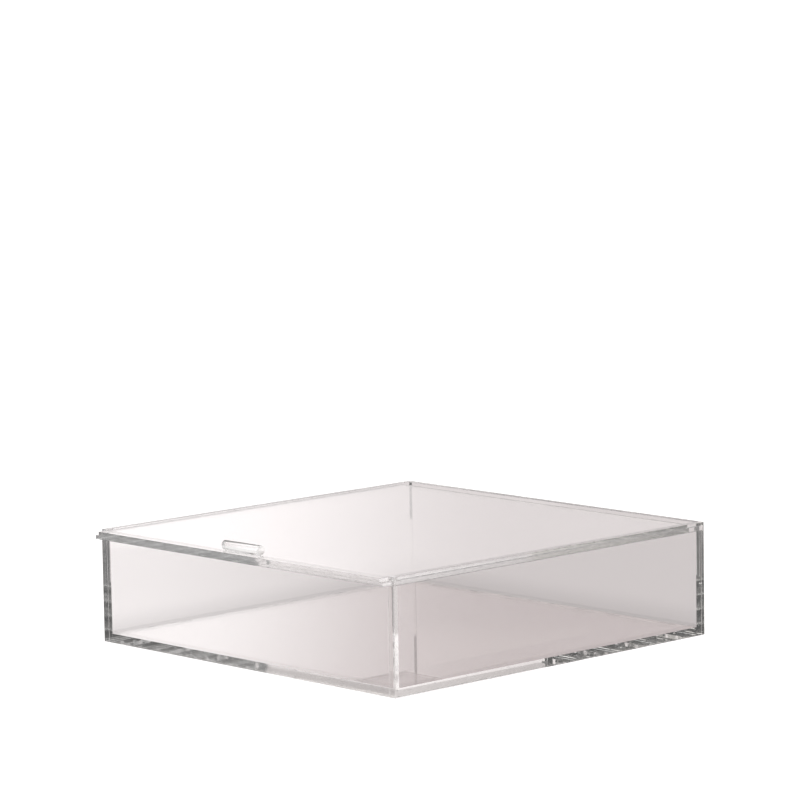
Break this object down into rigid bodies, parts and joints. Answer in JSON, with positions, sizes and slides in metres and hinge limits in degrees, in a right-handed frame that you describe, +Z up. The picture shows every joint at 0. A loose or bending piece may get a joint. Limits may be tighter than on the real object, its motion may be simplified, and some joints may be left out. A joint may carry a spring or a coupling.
{
  "type": "sliding-lid box",
  "caption": "Low square box of clear plastic sheet with a flat lid that slides out in grooves in the side walls, pulled by a short round rod.",
  "frame": {"origin": "middle of the case's underside, on the surface it stands on", "axes": "+Z up, +X to the right of someone facing the pull, -Y towards that person, which is the way the lid slides out"},
  "size_m": [0.22, 0.2256, 0.064],
  "materials": {
    "clear_acrylic": "clear, colourless, polished faces and cut edges"
  },
  "bodies": {
    "case": {"base_panel": "clear_acrylic", "front_wall": "clear_acrylic", "back_wall": "clear_acrylic", "left_wall": "clear_acrylic", "right_wall": "clear_acrylic"},
    "lid": {"sliding_lid": "clear_acrylic", "lid_pull": "clear_acrylic"}
  },
  "joints": [
    {"name": "lid_slide", "type": "slide", "parent": "case", "child": "lid", "axis": [0, -1, 0], "range_m": [-0.0056, 0.2127]}
  ]
}
